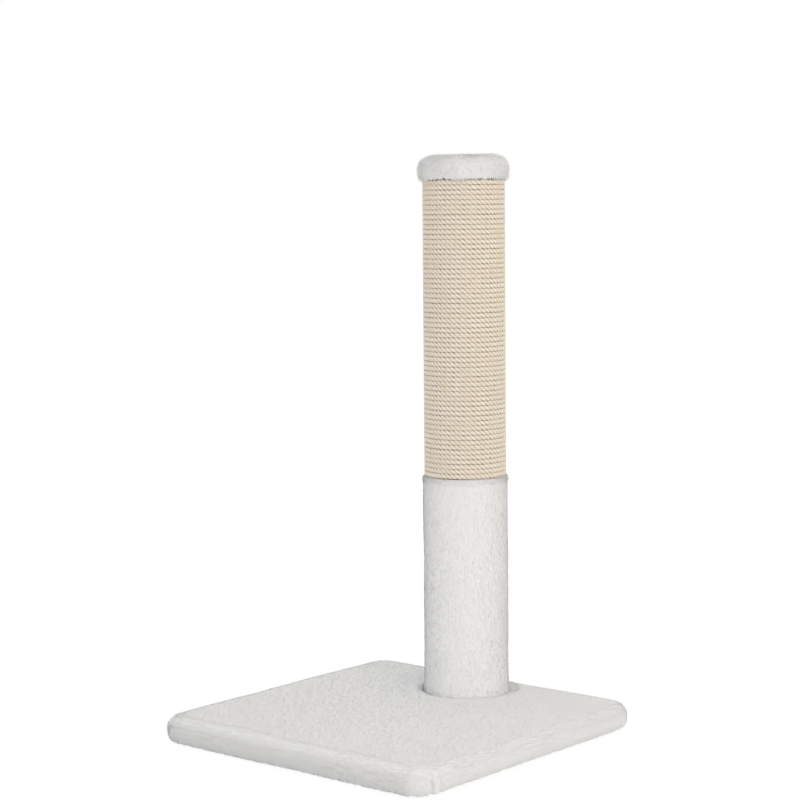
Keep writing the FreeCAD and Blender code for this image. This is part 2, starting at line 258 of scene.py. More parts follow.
def lightSky():
    world = bpy.data.worlds.new("studio")
    world.use_nodes = True
    bpy.context.scene.world = world
    tree = world.node_tree
    tree.nodes.clear()
    way = addNode(tree, "ShaderNodeTexCoord").outputs["Generated"]
    up = addNode(tree, "ShaderNodeSeparateXYZ", {"Vector": way}).outputs["Z"]
    strength = ramp(tree, up, 0.0, studio["skyTop"], studio["skyLow"], studio["skyHigh"])
    across = reckon(tree, "DOT_PRODUCT", way, studio["rightWay"], kind="ShaderNodeVectorMath")
    side = ramp(tree, across, studio["leftEnd"], studio["rightEnd"])
    colour = colourMix(tree, studio["skyLeft"], studio["skyRight"], side)
    glow = addNode(tree, "ShaderNodeBackground", {"Color": colour, "Strength": strength})
    white = addNode(tree, "ShaderNodeBackground", {"Color": (1, 1, 1, 1), "Strength": 1.0})
    finishTree(tree, "ShaderNodeOutputWorld", glow, white)


def lightKey():
    data = bpy.data.lights.new("key", "AREA")
    data.shape = "SQUARE"
    data.size = studio["keySize"]
    data.energy = studio["keyPower"]
    data.color = studio["keyColour"]
    key = addObject("key", data)
    key.location = studio["keyPlace"]
    aim = Vector(studio["keyAim"]) - key.location
    key.rotation_euler = aim.to_track_quat("-Z", "Y").to_euler()


def layFloor():
    bm = bmesh.new()
    bmesh.ops.create_grid(bm, x_segments=1, y_segments=1, size=studio["floorSize"] / 2)
    floor = toObject(bm, "floor")
    material = bpy.data.materials.new("floorPaper")
    material.use_nodes = True
    tree = material.node_tree
    tree.nodes.clear()
    plain = addNode(tree, "ShaderNodeBsdfDiffuse", {"Color": (studio["floorShade"],) * 3 + (1,)})
    pale = addNode(tree, "ShaderNodeBsdfDiffuse", {"Color": (studio["floorTint"],) * 3 + (1,)})
    glow = addNode(tree, "ShaderNodeEmission", {"Strength": studio["floorGlow"]})
    both = addNode(tree, "ShaderNodeAddShader", {0: pale, 1: glow})
    finishTree(tree, "ShaderNodeOutputMaterial", plain, both)
    floor.data.materials.append(material)


plushLook = {
    "light": (0.945, 0.942, 0.935, 1),
    "dark": (0.915, 0.912, 0.905, 1),
    # root is painted shade deep in the pile, at the root of each tuft
    "root": (0.925, 0.922, 0.916, 1),
    "rootShadeShare": 0.45,  # of a tuft's length
    "patchScale": 14.0,
    "hairScale": 900.0,
    "roughness": 0.95,
    "sheen": 0.4,
    "streaks": (150, 150, 16),  # of the pile on the post, finer across than along
    "bump": 0.06,
    "bumpDepth": 0.0008,
}


def startMaterial(name, **values):
    # a new material with its constant values set on the shader itself
    material = bpy.data.materials.new(name)
    material.use_nodes = True
    shader = material.node_tree.nodes["Principled BSDF"]
    for label, value in values.items():
        shader.inputs[label.replace("_", " ")].default_value = value
    return material, material.node_tree, shader


def plushMaterial(name, pile, streaked=False):
    material, tree, shader = startMaterial(
        name, Roughness=plushLook["roughness"], Sheen_Weight=plushLook["sheen"],
        Sheen_Roughness=0.5, Specular_IOR_Level=0.12)
    patches = texture(tree, "Noise", Scale=plushLook["patchScale"], Detail=4)
    if streaked:
        place = addNode(tree, "ShaderNodeTexCoord").outputs["Object"]
        feed(patches, "Scale", 1.0)
        feed(patches, "Vector", addNode(tree, "ShaderNodeMapping", {
            "Vector": place, "Scale": plushLook["streaks"]}))
    shade = colourMix(tree, plushLook["dark"], plushLook["light"], patches)
    if pile:
        # painted shade: each tuft is darker towards its root, deep in the pile
        depth = ramp(tree, attribute(tree, "tuft"), 0.0, plushLook["rootShadeShare"])
        shade = colourMix(tree, plushLook["root"], shade, depth)
    else:
        hairs = texture(tree, "Noise", Scale=plushLook["hairScale"], Detail=2)
        roughen(shader, hairs, plushLook["bump"], plushLook["bumpDepth"])
    feed(shader, "Base Color", shade)
    return material


def store(mesh, name, kind, values):
    # one value or vector for each vertex
    data = mesh.attributes.new(name, kind, "POINT").data
    data.foreach_set("vector" if kind == "FLOAT_VECTOR" else "value", np.ravel(values))


combLook = {
    "turning": (0.4, 0.95),  # how far up the cloth faces, from upright side to top
    "coarse": 28.0,  # drifts of the comb, as waves a metre
    "fine": 110.0,
    "fineShare": 0.8,
    "lowest": -0.15,  # how far down a tuft's outer side may face
}


def combPile(coat, leans, combAt, pileAt, stray, seed):
    # stores each point's nap: which way a tuft leans, and whether one grows there
    mesh = coat.data
    ways, faces, grown = [], [], []
    for vert in mesh.vertices:
        normal = vert.normal
        lean = leans[0] + (leans[1] - leans[0]) * smoothStep(normal.z, *combLook["turning"])
        up, along = math.cos(math.radians(lean)), math.sin(math.radians(lean))
        drift = noise.noise_vector(vert.co * combLook["coarse"] + Vector((seed, 0, 0)))
        drift += noise.noise_vector(vert.co * combLook["fine"] + Vector((0, seed, 0))) * (
            combLook["fineShare"])
        way = combAt(vert.co, normal) + drift * stray
        way -= normal * way.dot(normal)
        ways.extend(normal * up + way.normalized() * along)
        faces.extend(Vector((normal.x, normal.y, max(normal.z, combLook["lowest"]))).normalized())
        grown.append(pileAt(vert.co, normal))
    store(mesh, "comb", "FLOAT_VECTOR", ways)
    store(mesh, "face", "FLOAT_VECTOR", faces)
    store(mesh, "pile", "FLOAT", grown)


tuftShape = {
    # width, length, least spacing, stray and own shading of a tuft on each cover; 0 shades
    # a tuft as the cloth below it and 1 as its own cone
    "base": (0.0022, 0.0048, 0.00115, 0.05, 0.0),
    "sleeve": (0.0021, 0.0046, 0.00118, 0.08, 0.04),
    "cap": (0.0018, 0.0058, 0.00106, 0.45, 0.4),
    "sizes": (0.8, 1.15),  # the smallest and largest tuft
    "sunk": 0.0001,
    "offFloor": 0.0003,  # tips bend where they meet the floor
    "cellsAcross": 230,  # tufts side by side in the baked map
    "cellFill": 0.84,  # of each cell's width
}


def pileNodes(kind, seed):
    width, length, spacing, jitter, ownShading = tuftShape[kind]
    tree = bpy.data.node_groups.new("pile", "GeometryNodeTree")
    for end in ("INPUT", "OUTPUT"):
        tree.interface.new_socket("Geometry", in_out=end, socket_type="NodeSocketGeometry")

    def named(label, kind):
        return addNode(tree, "GeometryNodeInputNamedAttribute", {"Name": label}, data_type=kind)

    def keep(shape, label, kind, domain, value):
        return addNode(tree, "GeometryNodeStoreNamedAttribute", {
            "Geometry": shape, "Name": label, "Value": value}, data_type=kind, domain=domain)

    def vectors(operation, *values):
        return reckon(tree, operation, *values, kind="ShaderNodeVectorMath")

    scatter = addNode(tree, "GeometryNodeDistributePointsOnFaces", {
        "Mesh": addNode(tree, "NodeGroupInput"), "Distance Min": spacing,
        "Density Max": 3 / spacing ** 2, "Density Factor": named("pile", "FLOAT"),
        "Seed": seed}, distribute_method="POISSON")
    stray = addNode(tree, "FunctionNodeRandomValue", {
        "Min": (-jitter,) * 3, "Max": (jitter,) * 3}, data_type="FLOAT_VECTOR")
    least, most = tuftShape["sizes"]
    size = addNode(tree, "FunctionNodeRandomValue", {"Min": least, "Max": most, "Seed": 9},
                   data_type="FLOAT")
    way = vectors("ADD", named("comb", "FLOAT_VECTOR"), stray)
    aim = addNode(tree, "FunctionNodeAlignRotationToVector", {"Vector": way}, axis="Z")
    # each tuft lies with a flat side outwards
    under = vectors("MULTIPLY", named("face", "FLOAT_VECTOR"), (-1, -1, -1))
    flat = addNode(tree, "FunctionNodeAlignRotationToVector", {"Rotation": aim, "Vector": under},
                   axis="X", pivot_axis="Z")

    cone = addNode(tree, "GeometryNodeMeshCone", {
        "Vertices": 3, "Side Segments": 1, "Radius Top": 0.0,
        "Radius Bottom": width / 2, "Depth": length})
    mapped = keep(cone, "tuftMap", "FLOAT2", "CORNER", cone.outputs["UV Map"])
    place = addNode(tree, "GeometryNodeInputPosition")
    height = addNode(tree, "ShaderNodeSeparateXYZ", {"Vector": place}).outputs["Z"]
    tuft = keep(mapped, "tuft", "FLOAT", "POINT", reckon(tree, "DIVIDE", height, length))
    sunk = addNode(tree, "GeometryNodeTransform", {
        "Geometry": tuft, "Translation": (0, 0, -tuftShape["sunk"])})
    plant = addNode(tree, "GeometryNodeInstanceOnPoints", {
        "Points": scatter, "Instance": sunk, "Rotation": flat, "Scale": size})
    index = addNode(tree, "GeometryNodeInputIndex")
    counted = keep(plant, "tuftNumber", "INT", "INSTANCE", index)
    real = addNode(tree, "GeometryNodeRealizeInstances", {"Geometry": counted})

    # each tuft has a cell of its own in the baked map
    across, fill = tuftShape["cellsAcross"], tuftShape["cellFill"]
    cell = named("tuftNumber", "INT")
    column = reckon(tree, "MODULO", cell, across)
    row = reckon(tree, "FLOOR", reckon(tree, "DIVIDE", cell, across))
    corner = addNode(tree, "ShaderNodeCombineXYZ", {"X": column, "Y": row})
    small = vectors("MULTIPLY", named("tuftMap", "FLOAT_VECTOR"), (fill, fill, 0))
    shrunk = vectors("MULTIPLY", vectors("ADD", corner, small), (1 / across, 1 / across, 0))
    baked = keep(real, "OFBake", "FLOAT2", "CORNER", shrunk)

    # tufts shade much as the cloth below them
    blend = addNode(tree, "ShaderNodeMix", {
        "Factor": ownShading, "A": named("face", "FLOAT_VECTOR"),
        "B": addNode(tree, "GeometryNodeInputNormal")}, data_type="VECTOR")
    shading = addNode(tree, "GeometryNodeSetMeshNormal", {
        "Mesh": baked, "Custom Normal": blend}, mode="FREE", domain="CORNER")
    addNode(tree, "NodeGroupOutput", {"Geometry": shading})
    return tree


def growPile(coat, kind, name, seed):
    grower = coat.modifiers.new("pile", "NODES")
    grower.node_group = pileNodes(kind, seed)
    mesh = meshOf(coat)
    coat.modifiers.clear()
    for owner in (mesh, coat.data):
        for label in ("tuftMap", "tuftNumber", "comb", "face", "pile"):
            if label in owner.attributes:
                owner.attributes.remove(owner.attributes[label])
    for vert in mesh.vertices:
        vert.co.z = max(vert.co.z, tuftShape["offFloor"])
    mesh.name = name
    pile = addObject(name, mesh)
    print(name, "has", len(mesh.polygons) // 4, "tufts")
    return pile


baseCover = {
    "recess": 0.0016,  # from the CAD surface in to the cloth
    "offFloor": 0.0008,  # from the CAD underside up to the cloth
    "spill": 0.0004,  # how far below that its ripples may reach
    "corner": 0.0294,
    "topRound": 0.0146,
    "bottomRound": 0.0106,
    "roundSteps": 8,
    "voxel": 0.0031,
    "hemOpening": 0.170,  # half the width of the opening underneath
    "hemCorner": 0.014,
    "hemDepth": 0.002,  # only faces this near the underside are cut,
    "topDepth": 0.01,  # and only points this near the top are pressed round the post
    "clothDepth": 0.0022,
    "dipDepth": 0.0042,  # the pile is pressed down round the post
    "dipRing": (0.0002, 0.0062),
    "dipSides": ((-150, 1.0), (50, 0.7)),  # most on these sides, in degrees, and how much
    "push": 0.0018,  # and stands up against the post elsewhere
    "pushWidth": 0.0045,
    "swell": 0.0006,
    "swellRing": (0.002, 0.009, 0.022),
    "creaseTurn": 28.0,  # degrees from each corner's middle to the fold of the cloth
    "creaseDepth": 0.0042,
    "creaseWidth": 0.0044,
    "creaseLip": 0.45,
    "creaseWave": (0.0006, 420),
    "creaseTop": (0.022, 0.032),  # the fold fades out between these heights
    "ripples": ((0.11, 0.0008), (0.035, 0.0002), (0.012, 0.0001)),
    "seed": 3.0,
    "leans": (70, 83),  # degrees on an upright side and on the top
    "combWay": (0.45, 0.85, -0.9),
    "stray": 0.08,
}


def isUpright(edge):
    return abs(edge.verts[0].co.z - edge.verts[1].co.z) > 0.005


def roundedSlab(low, high, corner, topRound, bottomRound, steps):
    bm = bmesh.new()
    bmesh.ops.create_cube(bm, size=1)
    bmesh.ops.scale(bm, vec=high - low, verts=bm.verts)
    bmesh.ops.translate(bm, vec=(low + high) / 2, verts=bm.verts)
    sides = [edge for edge in bm.edges if isUpright(edge)]
    bmesh.ops.bevel(bm, geom=sides, offset=corner, segments=steps + 2, profile=0.5,
                    affect="EDGES", material=-1)
    for height, offset in ((high.z, topRound), (low.z, bottomRound)):
        rim = [e for e in bm.edges if all(abs(v.co.z - height) < 1e-5 for v in e.verts)]
        bmesh.ops.bevel(bm, geom=rim, offset=offset, segments=steps, profile=0.5,
                        affect="EDGES", material=-1)
    return bm


def openHem(bm, half, corner, height):
    # cuts the opening underneath, with its corners taken off at 45 degrees
    normals = [Vector((1, 0, 0)), Vector((-1, 0, 0)), Vector((0, 1, 0)), Vector((0, -1, 0))]
    normals += [Vector((x, y, 0)).normalized() for x in (1, -1) for y in (1, -1)]
    reach = [half] * 4 + [(2 * half - corner) / math.sqrt(2)] * 4
    for normal, distance in zip(normals, reach):
        under = [f for f in bm.faces if f.calc_center_median().z < height]
        edges = {edge for face in under for edge in face.edges}
        verts = {vert for face in under for vert in face.verts}
        bmesh.ops.bisect_plane(bm, geom=[*under, *edges, *verts],
                               plane_co=normal * distance, plane_no=normal)
    inside = []
    for face in bm.faces:
        centre = face.calc_center_median()
        fits = all(centre.dot(n) < d for n, d in zip(normals, reach))
        if centre.z < height and fits:
            inside.append(face)
    bmesh.ops.delete(bm, geom=inside, context="FACES")


def pressFoot(point):
    # how far the plush lies off its level near the foot of the post
    radius, angle = aroundPost(point)
    away = radius - sleeveRadius
    dip = 1 - smoothStep(away, *baseCover["dipRing"])
    start, crest, end = baseCover["swellRing"]
    swell = smoothStep(away, start, crest) * (1 - smoothStep(away, crest, end))
    pressed = 0
    for side, share in baseCover["dipSides"]:
        pressed = max(pressed, share * math.cos(turnBetween(angle, math.radians(side))))
    push = baseCover["push"] * (1 - pressed) * (1 - smoothStep(away, 0.0, baseCover["pushWidth"]))
    return baseCover["swell"] * swell + push - baseCover["dipDepth"] * pressed * dip


def foldCorner(point, half, corner):
    # the fold at each corner: a groove with one lip raised, up to the top's rounding
    centre = Vector((math.copysign(half - corner, point.x), math.copysign(half - corner, point.y)))
    out = point.xy - centre
    if abs(point.x) < half - corner or abs(point.y) < half - corner:
        return 0.0
    middle = math.atan2(math.copysign(1, point.y), math.copysign(1, point.x))
    aside = math.copysign(math.radians(baseCover["creaseTurn"]), point.x)
    turn = turnBetween(math.atan2(out.y, out.x), middle + aside)
    wander, waves = baseCover["creaseWave"]
    across = turn * corner + wander * math.sin(point.z * waves)
    width = baseCover["creaseWidth"]
    depth = baseCover["creaseDepth"]
    groove = -depth * math.exp(-((across / (width * 0.5)) ** 2))
    lip = baseCover["creaseLip"] * depth * math.exp(-(((across - width) / width) ** 2))
    return (groove + lip) * (1 - smoothStep(point.z, *baseCover["creaseTop"]))


def makeBaseCover():
    low, high = nodeCorners("base_plush")
    half = (high.x - low.x) / 2 - baseCover["recess"]
    low = Vector((-half, -half, low.z + baseCover["offFloor"]))
    high = Vector((half, half, high.z - baseCover["recess"]))
    bm = roundedSlab(low, high, baseCover["corner"], baseCover["topRound"],
                     baseCover["bottomRound"], baseCover["roundSteps"])
    cover = toObject(bm, "basePlush")
    remeshEvenly(cover, baseCover["voxel"])
    rippleMesh(cover, baseCover["ripples"], baseCover["seed"])
    bm = bmesh.new()
    bm.from_mesh(cover.data)
    bm.normal_update()
    for vert in bm.verts:
        fold = foldCorner(vert.co, half, baseCover["corner"])
        if fold:
            vert.co += Vector((vert.normal.x, vert.normal.y, 0)) * fold
        if vert.co.z > high.z - baseCover["topDepth"]:
            vert.co.z += pressFoot(vert.co)
        vert.co.z = max(vert.co.z, low.z - baseCover["spill"])
    openHem(bm, baseCover["hemOpening"], baseCover["hemCorner"], low.z + baseCover["hemDepth"])
    bm.to_mesh(cover.data)
    bm.free()
    smoothShade(cover)
    comb = Vector(baseCover["combWay"])
    piles = []
    for number, (side, name) in enumerate(((-1, "basePileFront"), (1, "basePileRear"))):
        def grows(point, normal):
            if point.y * side < 0 or aroundPost(point)[0] < sleeveRadius - 0.001:
                return 0.0
            return smoothStep(normal.z, -0.95, -0.6)

        combPile(cover, baseCover["leans"], lambda point, normal: comb, grows,
                 baseCover["stray"], number)
        piles.append(growPile(cover, "base", name, number + 1))
    giveWall(cover, baseCover["clothDepth"])
    return cover, piles


sleeveLook = {
    "recess": 0.0014,
    "wall": 0.0060,
    "topRound": 0.004,
    "topShare": 0.6,  # of the recess, at the top
    "step": 0.0024,
    "innerStep": 0.02,
    "turns": 140,
    "flare": 0.0010,
    "flareRange": (0.004, 0.03),  # it fades out between these heights over the foot
    "combOut": 0.35,
    "margin": 0.002,  # no pile this near the inner wall and the lower edge
    "ripples": ((0.06, 0.0006), (0.022, 0.0003), (0.008, 0.0001)),
    "seed": 11.0,
    "seamDepth": 0.0022,
    "seamWidth": 0.0040,
    "leans": (76, 80),
    "stray": 0.2,
}


def straightRun(start, end, step):
    count = max(1, round(math.dist(start, end) / step))
    return [tuple(a + (b - a) * i / count for a, b in zip(start, end)) for i in range(count)]


def roundRun(centre, radius, startAngle, endAngle, steps):
    points = []
    for i in range(steps):
        angle = math.radians(startAngle + (endAngle - startAngle) * i / steps)
        points.append((centre[0] + radius * math.cos(angle), centre[1] + radius * math.sin(angle)))
    return points


def spinOutline(name, outline, steps, closed):
    # spins an outline of (radius, height) pairs round the post's axis
    bm = bmesh.new()
    verts = [bm.verts.new((radius, postY, height)) for radius, height in outline]
    for first, second in zip(verts, verts[1:] + (verts[:1] if closed else [])):
        bm.edges.new((first, second))
    bmesh.ops.spin(bm, geom=list(bm.verts) + list(bm.edges), cent=postAxis, axis=(0, 0, 1),
                   dvec=(0, 0, 0), angle=2 * math.pi, steps=steps, use_merge=True,
                   use_normal_flip=False, use_duplicate=False)
    bmesh.ops.remove_doubles(bm, verts=bm.verts, dist=1e-6)
    bmesh.ops.recalc_face_normals(bm, faces=bm.faces)
    # spin leaves its faces in no steady order, and a pile is scattered by that order
    slope = Vector((1.0, 7.13, 53.7))
    bm.verts.sort(key=lambda vert: vert.co.dot(slope))
    bm.faces.sort(key=lambda face: face.calc_center_median().dot(slope))
    piece = toObject(bm, name)
    smoothShade(piece)
    return piece


def makeSleeve():
    low, high = nodeCorners("plush_sleeve")
    outer = sleeveRadius - sleeveLook["recess"]
    inner = outer - sleeveLook["wall"]
    top = high.z - sleeveLook["recess"] * sleeveLook["topShare"]
    bend = sleeveLook["topRound"]
    step = sleeveLook["step"]
    outline = straightRun((outer, low.z), (outer, top - bend), step)
    outline += roundRun((outer - bend, top - bend), bend, 0, 90, 4)
    outline += straightRun((outer - bend, top), (inner, top), step)
    outline += straightRun((inner, top), (inner, low.z), sleeveLook["innerStep"])
    outline += straightRun((inner, low.z), (outer, low.z), step)
    sleeve = spinOutline("sleevePlush", outline, sleeveLook["turns"], True)
    rippleMesh(sleeve, sleeveLook["ripples"], sleeveLook["seed"])
    for vert in sleeve.data.vertices:
        radius, angle = aroundPost(vert.co)
        if radius < (outer + inner) / 2:
            continue
        across = abs(turnBetween(angle, seamAngle)) * outer
        groove = sleeveLook["seamDepth"] * (1 - smoothStep(across, 0, sleeveLook["seamWidth"]))
        fade = 1 - smoothStep(vert.co.z - low.z, *sleeveLook["flareRange"])
        flare = sleeveLook["flare"] * fade
        out = Vector((math.cos(angle), math.sin(angle), 0))
        vert.co += out * (flare - groove)
    sleeve.data.update()

    def grows(point, normal):
        radius, angle = aroundPost(point)
        edge = sleeveLook["margin"]
        inSight = radius > inner + edge and point.z > low.z + edge
        return 1.0 if inSight and normal.z > -0.5 else 0.0

    def down(point, normal):
        radius, angle = aroundPost(point)
        out = sleeveLook["combOut"]
        return Vector((out * math.cos(angle), out * math.sin(angle), -1))

    combPile(sleeve, sleeveLook["leans"], down, grows, sleeveLook["stray"], 4)
    pile = growPile(sleeve, "sleeve", "sleevePile", 4)
    return sleeve, [pile]


capLook = {
    "recess": 0.0048,
    "topRecess": 0.0054,
    "shoulder": 0.0130,
    "lower": 0.0080,
    "dish": 0.0012,  # how far the middle of the top lies below its rim
    "hang": 0.0034,  # how far the cover sags below its seat at the rim
    "rim": (0.0506, 0.0526),  # between these radii, just outside the rope
    "hemOpening": 0.020,
    "clothDepth": 0.0012,
    "turns": 90,
    "sideStep": 0.003,
    "underStep": 0.004,
    "voxel": 0.0040,
    "pressure": 4.0,
    "mass": 0.2,
    "quality": 6,
    "frames": 20,
    "mostMove": 0.0010,
    "held": 0.045,  # the underside stays put inside this radius
    "lowSide": -139.7,  # degrees; the shoulder on this side is rounder and lower
    "lowDepth": 0.0005,
    "lowReach": (0.015, 0.05),  # from the axis towards that side
    "turnUnder": -0.3,  # cloth that faces further down is combed inwards
    "combDown": -0.8,
    "ripples": ((0.030, 0.0011), (0.014, 0.0006), (0.007, 0.0002)),
    "seed": 21.0,
    "leans": (54, 76),
    "stray": 0.5,
}


def puffUp(piece, pinned):
    # a short cloth simulation under pressure, whose moves are kept small
    rest = [vert.co.copy() for vert in piece.data.vertices]
    held = piece.vertex_groups.new(name="held")
    held.add([vert.index for vert in piece.data.vertices if pinned(vert.co)], 1.0, "REPLACE")
    cloth = piece.modifiers.new("puff", "CLOTH")
    cloth.settings.quality = capLook["quality"]
    cloth.settings.mass = capLook["mass"]
    cloth.settings.use_pressure = True
    cloth.settings.uniform_pressure_force = capLook["pressure"]
    cloth.settings.vertex_group_mass = held.name
    cloth.settings.effector_weights.gravity = 0
    cloth.collision_settings.use_collision = False
    cloth.point_cache.frame_start = 1
    cloth.point_cache.frame_end = capLook["frames"]
    scene = bpy.context.scene
    for number in range(1, capLook["frames"] + 1):
        scene.frame_set(number)
    mesh = meshOf(piece)
    piece.modifiers.clear()
    piece.vertex_groups.clear()
    for vert, start, end in zip(piece.data.vertices, rest, mesh.vertices):
        move = end.co - start
        vert.co = start + move * min(1.0, capLook["mostMove"] / max(move.length, 1e-9))
    scene.frame_set(1)


def makeCapCover():
    low, high = nodeCorners("cap_plush")
    outer = (high.x - low.x) / 2 - capLook["recess"]
    top = high.z - capLook["topRecess"]
    bottom = low.z + 0.0004
    shoulder, lower, dish = capLook["shoulder"], capLook["lower"], capLook["dish"]
    inner = outer - shoulder
    outline = [(inner * i / 12, top - dish * (1 - (i / 12) ** 2)) for i in range(12)]
    outline += roundRun((inner, top - shoulder), shoulder, 90, 0, 8)
    outline += straightRun((outer, top - shoulder), (outer, bottom + lower), capLook["sideStep"])
    outline += roundRun((outer - lower, bottom + lower), lower, 0, -90, 6)
    outline += straightRun((outer - lower, bottom), (0, bottom), capLook["underStep"])
    cover = spinOutline("capPlush", outline + [(0, bottom)], capLook["turns"], False)
    remeshEvenly(cover, capLook["voxel"])
    puffUp(cover, lambda point: point.z < bottom + 0.001
           and aroundPost(point)[0] < capLook["held"])
    finer = cover.modifiers.new("finer", "SUBSURF")
    finer.levels = finer.render_levels = 1
    bakeModifiers(cover)
    rippleMesh(cover, capLook["ripples"], capLook["seed"])
    side = math.radians(capLook["lowSide"])
    bm = bmesh.new()
    bm.from_mesh(cover.data)
    for vert in bm.verts:
        radius, angle = aroundPost(vert.co)
        reach = radius * math.cos(angle - side)
        if vert.co.z > (top + bottom) / 2:
            vert.co.z -= capLook["lowDepth"] * smoothStep(reach, *capLook["lowReach"])
        else:
            vert.co.z -= capLook["hang"] * smoothStep(radius, *capLook["rim"])
    hole = [f for f in bm.faces if f.calc_center_median().z < bottom + 0.002
            and aroundPost(f.calc_center_median())[0] < capLook["hemOpening"]]
    bmesh.ops.delete(bm, geom=hole, context="FACES")
    bm.to_mesh(cover.data)
    bm.free()
    smoothShade(cover)

    def outward(point, normal):
        radius, angle = aroundPost(point)
        out = 1.0 if normal.z > capLook["turnUnder"] else -0.3
        return Vector((out * math.cos(angle), out * math.sin(angle), capLook["combDown"]))

    def grows(point, normal):
        return 1.0 if normal.z > -0.75 or aroundPost(point)[0] > capLook["rim"][0] else 0.0

    combPile(cover, capLook["leans"], outward, grows, capLook["stray"], 7)
    pile = growPile(cover, "cap", "capPile", 7)
    giveWall(cover, capLook["clothDepth"])
    return cover, [pile]


ropeLook = {
    "rows": 61,
    "strands": 3,
    "radius": 0.003,
    "endInset": 0.00275,  # from the CAD box's top and bottom to the rope's middle
    # a strand's outline, as degrees and millimetres from the middle of the rope
    "strandOutline": ((-57, 2.50), (-40, 2.81), (-14, 2.98), (14, 2.98), (40, 2.81), (57, 2.50),
                      (42, 0.7), (-42, 0.7)),
    "squash": 0.31,  # the rows press one another out of round
    "lay": 0.0178,  # length of rope in which a strand goes round once
    "pointsPerTurn": 180,
    "standOff": 0.0002,  # from the tube to the rope
    "wander": 0.00026,  # how far a row strays up or down
    "wanderWaves": (2.3, 14),  # waves a metre of rope
    "bulge": 0.8,  # how far it strays in or out, as a share of that
    "bulgeWaves": 5.3,
    "swell": 0.045,
    "swellWaves": 90,
    "seed": 5.0,
    "turnWay": 1,  # -1 lays the strands the other way
    "crestReach": 0.00298,  # a strand's crest, from the middle of the rope
    "fibreRadius": 0.0016,  # size of the fibre pattern round a strand and along it
    "fibreStretch": 0.09,
    "rowFill": 0.9,  # of each row's height in the baked map
}


def ropeRoute():
    # centre line from top to bottom: angle, height, radius and length so far at each step
    low, high = nodeCorners("sisal_rope")
    radius = tubeRadius + ropeLook["standOff"] + ropeLook["radius"]
    top, bottom = high.z - ropeLook["endInset"], low.z + ropeLook["endInset"]
    pitch = (top - bottom) / (ropeLook["rows"] - 1)
    perTurn = ropeLook["pointsPerTurn"]
    steps = np.arange(perTurn * (ropeLook["rows"] - 1) + perTurn // 2 + 1)
    turns = steps / perTurn
    angle = seamAngle + math.pi / 2 + 2 * math.pi * turns
    # half a turn level, then half a turn that steps down one row
    part = np.clip((turns % 1.0) * 2 - 1, 0, 1)
    fall = np.floor(turns + 1e-9) + (1 - np.cos(math.pi * part)) / 2
    length = 2 * math.pi * radius * turns
    seed, wander, (slow, fast) = ropeLook["seed"], ropeLook["wander"], ropeLook["wanderWaves"]
    drift = np.array([noise.noise(Vector((s * slow, seed, 0))) for s in length])
    drift += 0.5 * np.array([noise.noise(Vector((s * fast, 0, seed))) for s in length])
    height = top - pitch * fall + wander * drift
    waves = ropeLook["bulgeWaves"]
    bulge = np.array([noise.noise(Vector((s * waves, 3, seed))) for s in length])
    return angle, height, radius + wander * ropeLook["bulge"] * bulge, length


def strandOutline(number):
    curve = bpy.data.curves.new("outline", "CURVE")
    spline = curve.splines.new("POLY")
    spline.points.add(len(ropeLook["strandOutline"]) - 1)
    spline.use_cyclic_u = True
    for point, (degrees, reach) in zip(spline.points, ropeLook["strandOutline"]):
        angle = math.radians(degrees) + 2 * math.pi * number / ropeLook["strands"]
        point.co = (reach / 1000 * math.cos(angle), reach / 1000 * math.sin(angle), 0, 1)
    return addObject("outline", curve)


def makeStrand(number):
    angle, height, radii, length = ropeRoute()
    points = np.ones((len(angle), 4), np.float32)
    points[:, 0] = radii * np.cos(angle)
    points[:, 1] = radii * np.sin(angle) + postY
    points[:, 2] = height
    waves, seed = ropeLook["swellWaves"], number * 5
    swell = [1 + ropeLook["swell"] * noise.noise(Vector((s * waves, seed, 2))) for s in length]
    outline = strandOutline(number)
    curve = bpy.data.curves.new("ropeStrand", "CURVE")
    curve.dimensions = "3D"
    curve.bevel_mode = "OBJECT"
    curve.bevel_object = outline
    curve.use_fill_caps = True
    curve.twist_mode = "Z_UP"
    spline = curve.splines.new("POLY")
    spline.points.add(len(points) - 1)
    spline.points.foreach_set("co", points.ravel())
    spline.points.foreach_set("radius", swell)
    spline.points.foreach_set("tilt", ropeLook["turnWay"] * 2 * math.pi * length / ropeLook["lay"])
    path = addObject("path", curve)
    mesh = meshOf(path)
    bpy.data.objects.remove(path)
    bpy.data.objects.remove(outline)
    strand = addObject("ropeStrand" + str(number + 1), mesh)
    smoothShade(strand)
    markStrand(mesh, angle, height, radii, length)
    return strand


